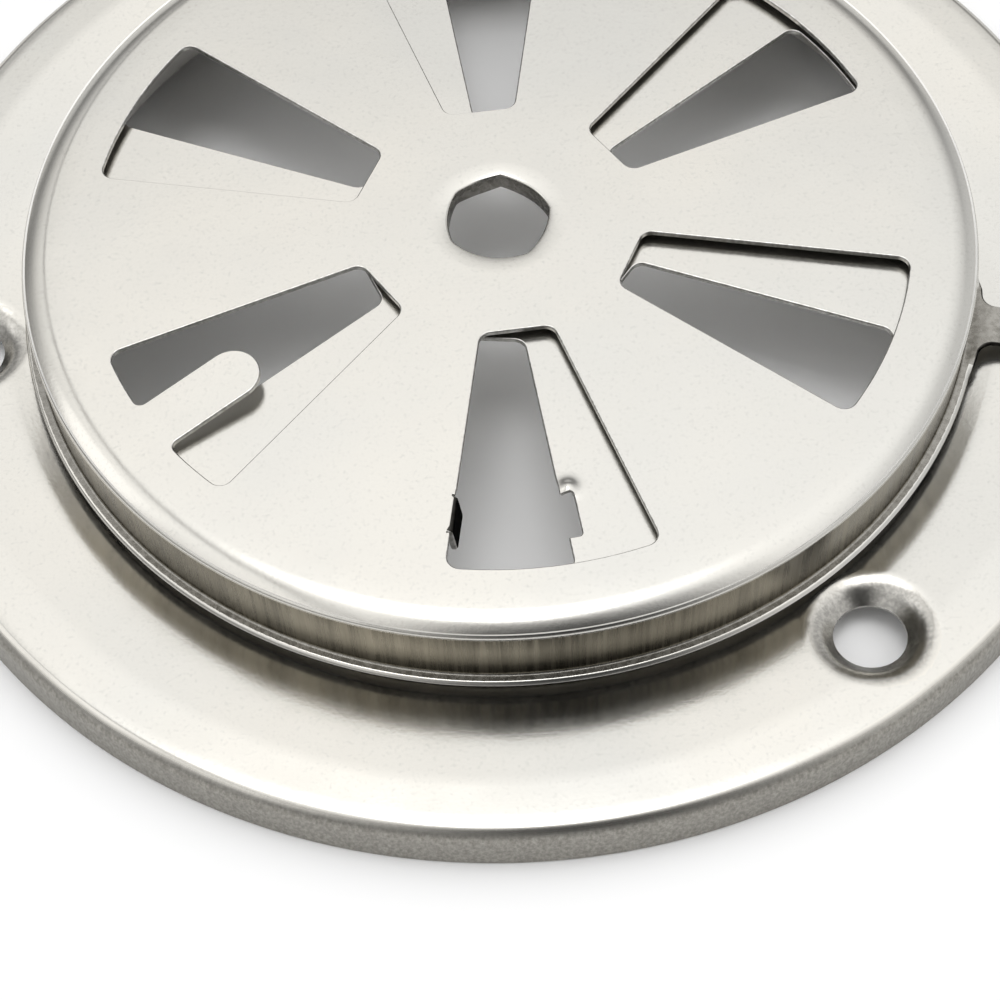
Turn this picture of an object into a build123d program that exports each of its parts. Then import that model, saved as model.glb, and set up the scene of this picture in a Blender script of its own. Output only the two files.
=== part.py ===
import os
from math import cos, radians, sin, sqrt, tan

from build123d import *

# A round rotary vent in pressed stainless sheet: a flanged base with an open deck, and a cap that turns on it.
# Millimetres and degrees. Z = 0 is the wall that the rim stands on, and +Z points out of the wall.
# Angles are counted from +X, counter-clockwise seen from the front.

# The two sheets
base_sheet = 0.5
cap_sheet = 0.5
overall_height = 10.5

# Base: rim, flange, drum and deck
flange_radius = 51.0        # at the rim's foot
rim_height = 3.9            # from the wall to the flange's face
rim_bend = 1.2              # outside of the rim's bend
rim_spread = 0.3            # how much wider the rim is at its foot than at its bend
drum_foot = 0.8             # hollow curve between the flange and the drum
deck_bend = 1.2             # outside of the bend between the drum and the deck

# Screw holes, dimpled for countersunk heads
screw_count = 3
screw_circle = 43.8         # radius of the ring of holes
screw_angle = 66.5
screw_hole = 2.65           # radius
dimple_mouth = 4.25         # radius where the cone meets the flange's face
dimple_slope = 42.0         # of the cone, from the flange's face
dimple_shoulder = 1.6       # rounding between the face and the cone

# Openings, the same in the deck and in the cap
opening_count = 6
opening_inner = 11.7
opening_outer = 32.7
opening_angle = 28.0
opening_corner = 1.0
deck_turn = 23.6            # middle of one of the deck's openings
cap_turn = 11.4             # how far the cap stands turned from the deck, as photographed

# Cap: top, skirt and lip
skirt_radius = 38.0
droop = 0.61                # how far the top falls towards its edge
droop_width = 1.15          # over this width
droop_bend = 2.6            # soft curve where it begins
top_bend = 0.6              # outside of the bend at the cap's edge
edge_depth = 1.15           # from the cap's face to the step below its edge
edge_stand = 0.1            # how far the edge stands out from the skirt
edge_step = 0.4             # height that it takes to step back
lip_width = 1.2             # how far the lip stands out from the skirt
lip_bend = 0.4              # hollow curve between the skirt and the lip
side_clearance = 0.35       # skirt to drum
deck_clearance = 0.5        # cap's underside to deck
lip_clearance = 0.25        # lip to flange

# Finger lever left on the lip
lever_angle = -12.7
lever_width = 3.7
lever_length = 7.6          # from the lip's edge
lever_root = 1.2            # curve into the lip

# Finger tongue left in one opening of the cap
tongue_opening = 3          # counted round from the first opening
tongue_width = 4.4
tongue_length = 9.3
tongue_root = 0.6           # curve into the opening's edge
tongue_rise = 4.5           # degrees that it is bent up

# Stop lug bent down from one opening of the cap, and the notch in the deck that it closes into
lug_opening = 4             # counted round from the first opening
lug_start = 26.5            # radius of its inner side
lug_width = 3.2
lug_drop = 2.8              # below the cap's face
lug_bend = 0.8              # outside of its bend
lug_stand = 0.15            # of its face out from the opening's edge
lug_relief = 0.12           # slits that free it from the bar
notch_depth = 1.0
notch_corner = 0.3
notch_clearance = 0.25      # notch to lug, on each side

# Eyelet drawn from the cap's middle, through the deck, with its end spread under the deck
eyelet_bore = 4.1           # radius
eyelet_clearance = 0.08     # eyelet to the deck's hole
spread_clearance = 0.1      # spread end to the deck's underside
spread_height = 0.9
spread_reach = 0.9          # how far its corners stand out from the eyelet
spread_corners = 6
spread_angle = 16.6         # of one corner
spread_round = 0.8          # rounding of its corners

# Small features reach this far into the sheet that they grow from
root_overlap = 0.5

# Heights and radii that follow
deck_top = overall_height - cap_sheet - deck_clearance
deck_under = deck_top - base_sheet
drum_radius = skirt_radius - cap_sheet - side_clearance
lip_top = rim_height + lip_clearance + cap_sheet
lip_radius = skirt_radius + lip_width
edge_radius = skirt_radius + edge_stand
edge_low = overall_height - edge_depth
droop_start = edge_radius - droop_width
rim_top = flange_radius - rim_spread
rim_slant = rim_spread / rim_height
eyelet_radius = eyelet_bore + cap_sheet
eyelet_entry = cap_sheet + deck_clearance
eyelet_end = deck_under - spread_clearance
deck_hole = eyelet_radius + eyelet_clearance
opening_step = 360 / opening_count
cap_first = deck_turn + cap_turn
half_opening = radians(opening_angle / 2)


def polar(radius, angle, height=0.0):
    return (radius * cos(radians(angle)), radius * sin(radians(angle)), height)


# Rounds the corner of a section's line that lies nearest to a radius and a height
def round_corner(line, radius, height, bend):
    corner = line.vertices().sort_by_distance((radius, height, 0))[0]
    fillet(corner, radius=bend)


# A sector with a nearly straight inner edge and an arc along the outer one
with BuildSketch() as opening:
    with BuildLine():
        inner_low = Vector(opening_inner * cos(half_opening), -opening_inner * sin(half_opening))
        inner_high = Vector(inner_low.X, -inner_low.Y)
        outer_low = Vector(opening_outer * cos(half_opening), -opening_outer * sin(half_opening))
        outer_high = Vector(outer_low.X, -outer_low.Y)
        Polyline(outer_low, inner_low, inner_high, outer_high)
        ThreePointArc(outer_high, (opening_outer, 0), outer_low)
    make_face()
    fillet(opening.vertices(), radius=opening_corner)


# A strip of sheet with a round end and a root that curves into the edge it grows from
def strip_outline(length, width, root):
    half = width / 2
    foot = half + root
    edge = root_overlap
    tip = root_overlap + length
    with BuildSketch(mode=Mode.PRIVATE) as strip:
        with BuildLine():
            Line((edge + root, half), (tip - half, half))
            ThreePointArc((tip - half, half), (tip, 0), (tip - half, -half))
            Line((tip - half, -half), (edge + root, -half))
            RadiusArc((edge + root, -half), (edge, -foot), -root)
            Polyline((edge, -foot), (0, -foot), (0, foot), (edge, foot))
            RadiusArc((edge, foot), (edge + root, half), -root)
        make_face()
    return strip.sketch


# One dimple about its own axis, with the flange's face at Z = 0
dimple_edge = dimple_mouth + dimple_shoulder * tan(radians(dimple_slope) / 2)
dimple_start = screw_hole - base_sheet
dimple_drop = (dimple_mouth - dimple_start) * tan(radians(dimple_slope))
with BuildPart() as dimple:
    with BuildSketch(Plane.XZ):
        with BuildLine() as dimple_line:
            Polyline((dimple_start, -dimple_drop), (dimple_mouth, 0), (dimple_edge + base_sheet, 0))
            round_corner(dimple_line, dimple_mouth, 0, dimple_shoulder)
            offset(amount=base_sheet, side=Side.RIGHT)
        make_face()
    revolve(axis=Axis.Z)
    Hole(screw_hole)

# The edge of the deck's opening that the lug closes against
notch_angle = deck_turn + lug_opening * opening_step + opening_angle / 2
notch_bar = Plane(origin=(0, 0, deck_top), x_dir=polar(1, notch_angle))

# Base, drawn from one disc of sheet
with BuildPart() as base:
    with BuildSketch(Plane.XZ):
        with BuildLine() as base_line:
            Polyline(
                (deck_hole, deck_top),
                (drum_radius, deck_top),
                (drum_radius, rim_height),
                (rim_top, rim_height),
                (flange_radius, 0),
                (flange_radius + rim_slant * base_sheet, -base_sheet),
            )
            round_corner(base_line, drum_radius, deck_top, deck_bend)
            round_corner(base_line, drum_radius, rim_height, drum_foot)
            round_corner(base_line, rim_top, rim_height, rim_bend)
            offset(amount=base_sheet, side=Side.RIGHT)
        make_face()
    revolve(axis=Axis.Z)
    split(bisect_by=Plane.XY, keep=Keep.TOP)
    with BuildSketch(Plane.XY.offset(deck_top)):
        with PolarLocations(0, opening_count, start_angle=deck_turn):
            add(opening.sketch)
    extrude(amount=-base_sheet, mode=Mode.SUBTRACT)
    with BuildSketch(notch_bar) as notch:
        with Locations((lug_start - notch_clearance, -notch_corner)):
            Rectangle(
                lug_width + 2 * notch_clearance,
                notch_depth + notch_corner,
                align=(Align.MIN, Align.MIN),
            )
        fillet(notch.vertices().group_by(Axis.Y)[-1], radius=notch_corner)
    extrude(amount=-base_sheet, mode=Mode.SUBTRACT)
    with BuildSketch(Plane.XY.offset(rim_height)):
        with PolarLocations(screw_circle, screw_count, start_angle=screw_angle):
            Circle(dimple_edge)
    extrude(amount=-base_sheet, mode=Mode.SUBTRACT)
    with Locations(Plane.XY.offset(rim_height)):
        with PolarLocations(screw_circle, screw_count, start_angle=screw_angle):
            add(dimple.part)
base.part.label = "base"

# The eyelet's end as a plug: round under the deck, with six corners at the bottom
def spread_plug(radius):
    corner_radius = radius + spread_reach
    with BuildPart() as plug:
        with BuildSketch(Plane.XZ):
            with BuildLine():
                Polyline(
                    (0, eyelet_end),
                    (radius, eyelet_end),
                    (corner_radius, eyelet_end - spread_height),
                    (0, eyelet_end - spread_height),
                    close=True,
                )
            make_face()
        revolve(axis=Axis.Z)
        with BuildSketch(Plane.XY.offset(eyelet_end)) as corners:
            RegularPolygon(corner_radius, spread_corners, rotation=spread_angle)
            fillet(corners.vertices(), radius=spread_round)
        extrude(amount=-spread_height, mode=Mode.INTERSECT)
    return plug.part


spread_outside = spread_plug(eyelet_radius)
spread_inside = spread_plug(eyelet_bore)

# Planes that the cap's small features are drawn on
tongue_angle = cap_first + tongue_opening * opening_step
tongue_edge = sqrt(opening_outer**2 - (tongue_width / 2 + tongue_root) ** 2)
inward = Vector(polar(-1, tongue_angle))
upward = Vector(0, 0, 1)
tongue_plane = Plane(
    origin=polar(tongue_edge + root_overlap, tongue_angle, overall_height),
    x_dir=inward * cos(radians(tongue_rise)) + upward * sin(radians(tongue_rise)),
    z_dir=upward * cos(radians(tongue_rise)) - inward * sin(radians(tongue_rise)),
)
lever_edge = sqrt(lip_radius**2 - (lever_width / 2 + lever_root) ** 2)
lever_plane = Plane(
    origin=polar(lever_edge - root_overlap, lever_angle, lip_top),
    x_dir=polar(1, lever_angle),
)
lug_angle = cap_first + lug_opening * opening_step - opening_angle / 2
lug_bar = Plane(origin=(0, 0, overall_height), x_dir=polar(1, lug_angle))
lug_side = Plane(
    origin=polar(lug_start, lug_angle, overall_height),
    x_dir=polar(1, lug_angle + 90),
    z_dir=polar(1, lug_angle),
)

# Cap, drawn from one disc of sheet
with BuildPart() as cap:
    with BuildSketch(Plane.XZ):
        with BuildLine() as cap_line:
            Polyline(
                (eyelet_bore, eyelet_end),
                (eyelet_bore, overall_height),
                (droop_start, overall_height),
                (edge_radius, overall_height - droop),
                (edge_radius, edge_low),
                (skirt_radius, edge_low - edge_step),
                (skirt_radius, lip_top),
                (lip_radius, lip_top),
            )
            round_corner(cap_line, eyelet_bore, overall_height, eyelet_entry)
            round_corner(cap_line, droop_start, overall_height, droop_bend)
            round_corner(cap_line, edge_radius, overall_height - droop, top_bend)
            round_corner(cap_line, skirt_radius, lip_top, lip_bend)
            offset(amount=cap_sheet, side=Side.RIGHT)
        make_face()
    revolve(axis=Axis.Z)
    with BuildSketch(Plane.XY.offset(overall_height)):
        with PolarLocations(0, opening_count, start_angle=cap_first):
            add(opening.sketch)
    extrude(amount=-cap_sheet, mode=Mode.SUBTRACT)

    # The tongue, bent up a little
    with BuildSketch(tongue_plane):
        add(strip_outline(tongue_length, tongue_width, tongue_root))
    extrude(amount=-cap_sheet)

    # The lever, level with the lip
    with BuildSketch(lever_plane):
        add(strip_outline(lever_length, lever_width, lever_root))
    extrude(amount=-cap_sheet)

    # The slits beside the lug, then the lug bent down between them
    with BuildSketch(lug_bar):
        with Locations((lug_start - lug_relief, lug_relief)):
            Rectangle(
                lug_width + 2 * lug_relief,
                lug_bend - lug_stand + lug_relief,
                align=(Align.MIN, Align.MAX),
            )
    extrude(amount=-cap_sheet, mode=Mode.SUBTRACT)
    with BuildSketch(lug_side):
        with BuildLine() as lug_line:
            Polyline((lug_stand - lug_bend - lug_relief, 0), (lug_stand, 0), (lug_stand, -lug_drop))
            fillet(lug_line.vertices().sort_by_distance((lug_stand, 0))[0], radius=lug_bend)
            offset(amount=cap_sheet, side=Side.RIGHT)
        make_face()
    extrude(amount=lug_width)

    # The spread end of the eyelet
    add(spread_outside)
    add(spread_inside, mode=Mode.SUBTRACT)
cap.part.label = "cap"

os.makedirs("parts", exist_ok=True)
export_step(base.part, "parts/base.step")
export_step(cap.part, "parts/cap.step")
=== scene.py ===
import math

import bpy
import numpy as np
from mathutils import Matrix, Vector
from mathutils.geometry import delaunay_2d_cdt
from mathutils.kdtree import KDTree


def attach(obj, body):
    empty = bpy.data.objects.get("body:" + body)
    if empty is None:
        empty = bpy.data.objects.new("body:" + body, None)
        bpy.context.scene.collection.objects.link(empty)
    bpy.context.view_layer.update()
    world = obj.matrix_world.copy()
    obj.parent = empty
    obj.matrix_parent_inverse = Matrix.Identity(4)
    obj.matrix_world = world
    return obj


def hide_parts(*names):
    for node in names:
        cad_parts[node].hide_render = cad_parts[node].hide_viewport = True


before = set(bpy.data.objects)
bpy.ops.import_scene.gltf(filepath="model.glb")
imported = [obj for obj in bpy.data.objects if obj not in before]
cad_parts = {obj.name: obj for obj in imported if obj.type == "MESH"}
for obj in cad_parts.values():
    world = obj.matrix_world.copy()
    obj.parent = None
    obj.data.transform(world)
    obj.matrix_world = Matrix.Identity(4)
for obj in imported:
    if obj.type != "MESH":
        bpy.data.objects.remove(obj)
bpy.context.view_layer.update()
mm = 0.001
tiny = 1e-6
print("frame loaded:", sorted(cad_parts))

# Both pieces are pressed from flat discs of sheet. Each is drawn here as a flat blank, cut into triangles,
# and pushed into shape by a form, so that its face, its back and its cut edges are one closed mesh.
# Millimetres and degrees up to the finished mesh, which is in metres.

vent = {
    "sheet": 0.5,
    "height": 10.5,
    "openings": 6,
    "openingInner": 11.7,
    "openingOuter": 32.7,
    "openingAngle": 28.0,
    "openingCorner": 1.0,
    "deckTurn": 23.6,       # middle of the deck's first opening
    "capTurn": 11.4,        # how far the cap stands turned from the deck
    "edgeRound": 0.12,      # rounding of the cut edges
    "edgeClear": 0.2,       # no spot inside the sheet lies closer to its cut edge
    "closest": 0.012,       # spots of an outline that are closer than this are one
    "around": 288,          # spots round each ring of the mesh
    "aroundHole": 72,       # and round those near the middle
    "edgeStep": 1.2,        # degrees between spots along an opening's outer edge
}
openingStep = 360 / vent["openings"]
halfOpening = vent["openingAngle"] / 2
capFirst = vent["deckTurn"] + vent["capTurn"]


# The row of a bend line that is closest to a place
def rowAt(table, radius, height):
    return table[np.argmin(np.hypot(table[:, 1] - radius, table[:, 2] - height))]


# corners are (radius, height, bend); rows come back as travel, radius, height and the face's normal
def bendLine(corners, flatPlace):
    corners = [(np.array(c[:2], float), c[2]) for c in corners]
    rows = []

    def put(point, direction):
        travel = 0.0
        if rows:
            gone = math.hypot(point[0] - rows[-1][1], point[1] - rows[-1][2])
            travel = rows[-1][0] + max(gone, tiny)
        rows.append((travel, point[0], point[1], -direction[1], direction[0]))

    for i, (here, bend) in enumerate(corners):
        before = here - corners[i - 1][0] if i > 0 else corners[1][0] - here
        after = corners[i + 1][0] - here if i < len(corners) - 1 else before
        before = before / np.linalg.norm(before)
        after = after / np.linalg.norm(after)
        angle = math.atan2(before[0] * after[1] - before[1] * after[0], float(before @ after))
        if abs(angle) < tiny:
            put(here, before)
            continue
        side = math.copysign(1.0, angle)
        start = here - before * bend * math.tan(abs(angle) / 2)
        centre = start + side * bend * np.array([-before[1], before[0]])
        steps = max(6, int(abs(math.degrees(angle)) / 2))
        for k in range(steps + 1):
            c, s = math.cos(angle * k / steps), math.sin(angle * k / steps)
            direction = np.array([before[0] * c - before[1] * s, before[0] * s + before[1] * c])
            put(centre + side * bend * np.array([direction[1], -direction[0]]), direction)
    table = np.array(rows)
    flat = rowAt(table, *flatPlace)
    table[:, 0] += flat[1] - flat[0]        # travel is the radius on the flat there
    return table


# Travels that need a ring of spots: gap apart on the flats and closer at the bends
def ringTravels(table, gap, turn):
    angle = np.unwrap(np.arctan2(table[:, 4], table[:, 3]))
    steps = np.diff(table[:, 0]) / gap + np.abs(np.diff(angle)) / math.radians(turn)
    tally = np.concatenate([[0.0], np.cumsum(steps)])
    count = int(math.ceil(tally[-1]))
    return np.interp(np.linspace(0, tally[-1], count + 1), tally, table[:, 0])


def formRound(table, flat):
    travel = np.hypot(flat[:, 0], flat[:, 1])
    c, s = flat[:, 0] / travel, flat[:, 1] / travel
    radius, height, out, up = [np.interp(travel, table[:, 0], table[:, k]) for k in (1, 2, 3, 4)]
    size = np.hypot(out, up)
    point = np.stack([radius * c, radius * s, height], 1)
    normal = np.stack([out * c, out * s, up], 1) / size[:, None]
    return point, normal


def arc(centre, radius, startAngle, endAngle, step=9.0):
    count = max(2, int(math.ceil(abs(endAngle - startAngle) / step)))
    angles = np.radians(np.linspace(startAngle, endAngle, count + 1))
    return np.stack([centre[0] + radius * np.cos(angles), centre[1] + radius * np.sin(angles)], 1)


def ring(radius, count):
    return arc((0, 0), radius, 0, 360 - 360 / count, 360 / count)


# A run of straight lines with spots no further apart than step
def along(points, step=1.0):
    out = [np.array(points[0], float)]
    for p in points[1:]:
        a, b = out[-1], np.array(p, float)
        count = max(1, int(math.ceil(np.linalg.norm(b - a) / step)))
        out += [a + (b - a) * k / count for k in range(1, count + 1)]
    return np.array(out)


# The same run with its inner corners rounded, each by its own bend
def rounded(points, bends):
    points = [np.array(p, float) for p in points]
    out = [points[0]]
    for a, b, c, bend in zip(points, points[1:], points[2:], bends):
        u = (b - a) / np.linalg.norm(b - a)
        v = (c - b) / np.linalg.norm(c - b)
        angle = math.atan2(u[0] * v[1] - u[1] * v[0], float(u @ v))
        if bend <= 0 or abs(angle) < tiny:
            out.append(b)
            continue
        start = b - u * bend * math.tan(abs(angle) / 2)
        centre = start + math.copysign(bend, angle) * np.array([-u[1], u[0]])
        first = math.degrees(math.atan2(start[1] - centre[1], start[0] - centre[0]))
        out += list(arc(centre, bend, first, first + math.degrees(angle), 15))
    return np.array(out + [points[-1]])


# Spots in rows: each run is its start, its end and the step
def grid(uRun, vRun):
    return np.array([(u, v) for u in np.arange(*uRun) for v in np.arange(*vRun)])


def closedLoop(*runs):
    out = []
    for p in np.concatenate(runs):
        if not out or np.linalg.norm(p - out[-1]) > vent["closest"]:
            out.append(p)
    if np.linalg.norm(out[0] - out[-1]) <= vent["closest"]:
        out.pop()
    return np.array(out)


def turned(points, degrees):
    c, s = math.cos(math.radians(degrees)), math.sin(math.radians(degrees))
    return np.asarray(points, float) @ np.array([[c, s], [-s, c]])


def inside(points, loop):
    hit = np.zeros(len(points), bool)
    x, y = points[:, 0], points[:, 1]
    for (x0, y0), (x1, y1) in zip(loop, np.roll(loop, -1, axis=0)):
        if y0 != y1:
            hit ^= ((y0 > y) != (y1 > y)) & (x < (x1 - x0) * (y - y0) / (y1 - y0) + x0)
    return hit


# One opening along +X, counter-clockwise: a side or the outer edge can be given as a run of its own,
# and the outer edge can lie further out than usual
def openingLoop(lowSide=None, outerEdge=None, highSide=None, further=0.0):
    inner, outer, corner = vent["openingInner"], vent["openingOuter"] + further, vent["openingCorner"]
    h = math.radians(halfOpening)
    cornerTurn = math.degrees(math.asin(corner / (outer - corner)))
    edgeAngle = halfOpening - cornerTurn
    edge = math.radians(edgeAngle)
    low = np.array([math.cos(h), -math.sin(h)])
    innerEnd, outerEnd = sideEnds(further)
    innerCentre = np.array([inner * math.cos(h) + corner, -inner * math.sin(h) + innerEnd - inner])
    outerCentre = (outer - corner) * np.array([math.cos(edge), -math.sin(edge)])
    flip = np.array([1, -1])
    if lowSide is None:
        lowSide = along([low * innerEnd, low * outerEnd])
    if highSide is None:
        highSide = along([low * flip * outerEnd, low * flip * innerEnd])
    if outerEdge is None:
        outerEdge = arc((0, 0), outer, -edgeAngle, edgeAngle, vent["edgeStep"])
    return closedLoop(
        arc(innerCentre, corner, 180, 270 - halfOpening),
        lowSide,
        arc(outerCentre, corner, -90 - halfOpening, -edgeAngle),
        outerEdge,
        arc(outerCentre * flip, corner, edgeAngle, 90 + halfOpening),
        highSide,
        arc(innerCentre * flip, corner, 90 + halfOpening, 180),
    )


# Where the straight part of an opening's side starts and ends
def sideEnds(further=0.0):
    inner, outer, corner = vent["openingInner"], vent["openingOuter"] + further, vent["openingCorner"]
    innerEnd = inner + corner / math.tan(math.radians(90 + halfOpening) / 2)
    return innerEnd, math.sqrt((outer - corner) ** 2 - corner ** 2)


# A side with its own outline: points are (distance out along the side, distance from it into the opening)
def sideRun(points, bends, side):
    h = math.radians(halfOpening)
    out = np.array([math.cos(h), side * math.sin(h)])
    across = np.array([math.sin(h), -side * math.cos(h)])
    return along(rounded([out * a + across * b for a, b in points], bends), 0.6)


# Cuts the blank up, pushes it into shape and closes it with its cut edges
def pressSheet(name, outer, holes, spots, form, pickFinish, finishes):
    sheet, edge = vent["sheet"], vent["edgeRound"]
    loops = [outer] + holes
    trimmed = []
    for i, loop in enumerate(loops):
        tangent = np.roll(loop, -1, axis=0) - np.roll(loop, 1, axis=0)
        tangent /= np.linalg.norm(tangent, axis=1)[:, None]
        left = np.stack([-tangent[:, 1], tangent[:, 0]], 1)
        trimmed.append(loop + left * (edge if i == 0 else -edge))

    def onSheet(points):
        on = inside(points, trimmed[0])
        for loop in trimmed[1:]:
            on &= ~inside(points, loop)
        return on

    edgeSpots = np.concatenate(trimmed)
    tree = KDTree(len(edgeSpots))
    for i, p in enumerate(edgeSpots):
        tree.insert((p[0], p[1], 0), i)
    tree.balance()
    spots = spots[onSheet(spots)]
    clear = np.array([tree.find((p[0], p[1], 0))[2] for p in spots])
    flat = np.concatenate([edgeSpots, spots[clear > vent["edgeClear"]]])
    links = []
    start = 0
    for loop in trimmed:
        links += [(start + k, start + (k + 1) % len(loop)) for k in range(len(loop))]
        start += len(loop)
    cut = delaunay_2d_cdt([Vector(p) for p in flat], links, [], 0, 1e-7)
    blank = np.array([tuple(v) for v in cut[0]])
    moved = {source: i for i, sources in enumerate(cut[3]) for source in sources}
    faces = np.array([f for f in cut[2] if len(f) == 3])
    faces = faces[onSheet(blank[faces].mean(axis=1))]
    u = blank[faces[:, 1]] - blank[faces[:, 0]]
    v = blank[faces[:, 2]] - blank[faces[:, 0]]
    wrong = u[:, 0] * v[:, 1] < u[:, 1] * v[:, 0]
    faces[wrong] = faces[wrong][:, ::-1]

    point, normal = form(blank)
    total = len(blank)
    points, normals = [point, point - normal * sheet], [normal, -normal]
    polygons = [tuple(f) for f in faces] + [tuple(f[::-1] + total) for f in faces]
    middles = blank[faces].mean(axis=1)
    picks = [pickFinish("face", m) for m in middles] + [pickFinish("back", m) for m in middles]
    first, start = 2 * total, 0
    for i, (loop, trim) in enumerate(zip(loops, trimmed)):
        count = len(loop)
        p, n = form(loop)
        q, _ = form(trim)
        out = p - q
        out -= n * (out * n).sum(axis=1)[:, None]
        out /= np.linalg.norm(out, axis=1)[:, None]
        points += [p - n * edge, p - n * (sheet - edge)]
        normals += [out, out]
        face = [moved[start + k] for k in range(count)]
        for k in range(count):
            m = (k + 1) % count
            strip = [(face[k], face[m]), (first + k, first + m),
                     (first + count + k, first + count + m), (face[k] + total, face[m] + total)]
            for (a, b), (c, d) in zip(strip, strip[1:]):
                polygons.append((c, d, b, a) if i == 0 else (a, b, d, c))
                picks.append(pickFinish("cut", loop[k]))
        first += 2 * count
        start += count
    points, normals = np.concatenate(points) * mm, np.concatenate(normals)
    used = sorted({i for f in polygons for i in f})
    place = {old: new for new, old in enumerate(used)}
    mesh = bpy.data.meshes.new(name)
    mesh.from_pydata([tuple(points[i]) for i in used], [], [[place[i] for i in f] for f in polygons])
    order = {}
    for key, finish in finishes.items():
        order[key] = len(order)
        mesh.materials.append(finish)
    mesh.polygons.foreach_set("material_index", [order[pick] for pick in picks])
    mesh.polygons.foreach_set("use_smooth", [True] * len(mesh.polygons))
    mesh.update()
    mesh.normals_split_custom_set_from_vertices([tuple(normals[i]) for i in used])
    piece = bpy.data.objects.new(name, mesh)
    bpy.context.scene.collection.objects.link(piece)
    print(name, "pressed:", len(mesh.vertices), "spots", len(mesh.polygons), "faces")
    return piece


# Nodes of the finishes: a value that is a socket is linked, anything else is set
def addNode(tree, kind, settings=None, **values):
    node = tree.nodes.new(kind)
    for key, value in (settings or {}).items():
        setattr(node, key, value)
    for key, value in values.items():
        socket = node.inputs[int(key[1:]) if key[1:].isdigit() else key.replace("_", " ")]
        if isinstance(value, bpy.types.NodeSocket):
            tree.links.new(value, socket)
        else:
            socket.default_value = value
    return node


def newFinish(name):
    finish = bpy.data.materials.new(name)
    finish.use_nodes = True
    tree = finish.node_tree
    shader = tree.nodes["Principled BSDF"]
    shader.inputs["Metallic"].default_value = 1
    return finish, tree, shader, addNode(tree, "ShaderNodeTexCoord").outputs["Object"]


def stretched(tree, coords, scale, turn=0.0):
    return addNode(tree, "ShaderNodeMapping", Vector=coords, Scale=scale,
                   Rotation=(0, 0, math.radians(turn))).outputs["Vector"]


def noise(tree, coords, scale, detail=3.0, roughness=0.5):
    return addNode(tree, "ShaderNodeTexNoise", Vector=coords, Scale=scale, Detail=detail,
                   Roughness=roughness).outputs["Fac"]


def remap(tree, value, low, high, toLow, toHigh):
    return addNode(tree, "ShaderNodeMapRange", {"clamp": True}, Value=value, From_Min=low, From_Max=high,
                   To_Min=toLow, To_Max=toHigh).outputs["Result"]


def mixColour(tree, factor, first, second):
    node = addNode(tree, "ShaderNodeMix", {"data_type": "RGBA"})
    tree.links.new(factor, node.inputs["Factor"])
    for socket, value in ((node.inputs[6], first), (node.inputs[7], second)):
        if isinstance(value, bpy.types.NodeSocket):
            tree.links.new(value, socket)
        else:
            socket.default_value = (*value, 1)
    return node.outputs[2]


# From a finish's dark colour to its light one, as the value goes over its spread
def shade(tree, value, settings):
    share = remap(tree, value, *settings["spread"], 0, 1)
    return mixColour(tree, share, settings["dark"], settings["light"])


def sums(tree, operation, first, second):
    return addNode(tree, "ShaderNodeMath", {"operation": operation}, _0=first, _1=second).outputs["Value"]


def bump(tree, height, strength, distance, normal=None):
    node = addNode(tree, "ShaderNodeBump", Height=height, Strength=strength, Distance=distance)
    if normal is not None:
        tree.links.new(normal, node.inputs["Normal"])
    return node.outputs["Normal"]


# Rolled sheet as it comes off the press: satin, with a warm and a grey tint drifting over it
satin = {
    "warm": (0.612, 0.592, 0.546),
    "grey": (0.572, 0.562, 0.530),
    "roughness": (0.16, 0.22),
    "tintScale": 42,
    "smearScale": 210,
    "waveScale": 120,
    "grainScale": 3400,
    "rollScale": (150, 5200, 150),
    "rollTurn": 24,
    "tintSpread": (0.35, 0.65),
    "smearSpread": (0.3, 0.7),
    "speck": (0.42, 0.41, 0.385),
    "speckSpread": (0.56, 0.78),
    "speckShare": 0.30,
    "waveBump": (0.6, 0.00006),     # strength and depth
    "rollBump": (0.3, 0.000004),
    "grainBump": (0.45, 0.000008),
}


def satinFinish():
    finish, tree, shader, coords = newFinish("satinSteel")
    tint = noise(tree, coords, satin["tintScale"], 3)
    smear = noise(tree, coords, satin["smearScale"], 4, 0.6)
    grain = noise(tree, coords, satin["grainScale"], 2)
    roll = noise(tree, stretched(tree, coords, satin["rollScale"], satin["rollTurn"]), 1.0, 2)
    colour = mixColour(tree, remap(tree, tint, *satin["tintSpread"], 0, 1), satin["warm"], satin["grey"])
    speck = remap(tree, grain, *satin["speckSpread"], 0, satin["speckShare"])
    colour = mixColour(tree, speck, colour, satin["speck"])
    tree.links.new(colour, shader.inputs["Base Color"])
    gloss = remap(tree, smear, *satin["smearSpread"], *satin["roughness"])
    tree.links.new(gloss, shader.inputs["Roughness"])
    wave = noise(tree, coords, satin["waveScale"], 2)
    normal = bump(tree, wave, *satin["waveBump"])
    normal = bump(tree, roll, *satin["rollBump"], normal)
    tree.links.new(bump(tree, grain, *satin["grainBump"], normal), shader.inputs["Normal"])
    return finish


# Walls pulled through the die: upright draw marks, duller and browner than the faces, and painted darker
# than the steel is as painted shade
drawn = {
    # the dark and light colours hold the painted shade, which also darkens the walls' reflection in the
    # flange
    "dark": (0.100, 0.088, 0.063),
    "light": (0.232, 0.210, 0.163),
    "spread": (0.36, 0.62),
    "markSpread": (0.3, 0.7),
    "roughness": (0.22, 0.33),
    "markScale": (2600, 2600, 60),
    "bandScale": (520, 520, 40),
    "bandShare": 0.35,
    "bump": (0.35, 0.00003),
}


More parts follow.
